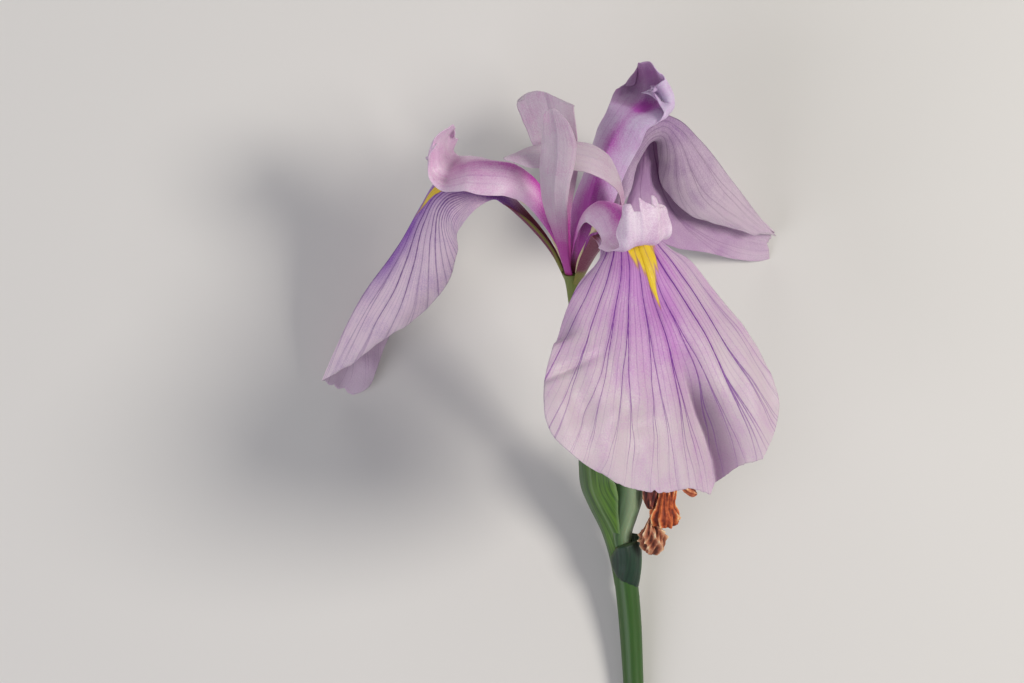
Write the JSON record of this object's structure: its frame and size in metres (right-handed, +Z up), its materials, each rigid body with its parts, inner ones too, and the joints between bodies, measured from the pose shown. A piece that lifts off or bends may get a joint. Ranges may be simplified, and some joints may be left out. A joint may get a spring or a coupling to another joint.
{
  "type": "cut iris flower",
  "caption": "Cut Japanese iris bloom on a short stem with broad drooping lilac petals, laid down so that it rests on its petals and the cut stem.",
  "frame": {"origin": "on the surface that the flower lies on, below the middle of its box", "axes": "+Y from the cut end of the stem towards the bloom, the longest way; +Z up from the surface, the shortest way; +X across the bloom, to the right when it is seen from above with the stem towards the viewer"},
  "size_m": [0.119, 0.191, 0.0965],
  "materials": {
    "lilac_petal": "soft satin petal with darker veins",
    "style_arm": "soft satin petal",
    "pale_petal": "soft satin petal",
    "stamen": "matt and powdery",
    "flower_tube": "satin plant skin",
    "green_stem": "satin plant skin",
    "bract": "satin plant skin with fine lengthwise ribs",
    "withered_petal": "dry and wrinkled"
  },
  "bodies": {
    "root": {"fall_front": "lilac_petal", "fall_left": "lilac_petal", "fall_back": "lilac_petal", "style_arm_front": "style_arm", "style_arm_left": "style_arm", "style_arm_back": "style_arm", "standard_left": "pale_petal", "standard_back": "pale_petal", "standard_right": "pale_petal", "stamen_front": "stamen", "stamen_left": "stamen", "stamen_back": "stamen", "perianth_tube": "flower_tube", "ovary": "green_stem", "stem": "green_stem", "bract_left": "bract", "bract_right": "bract", "stem_sheath": "bract", "withered_bloom": "withered_petal"}
  },
  "joints": []
}
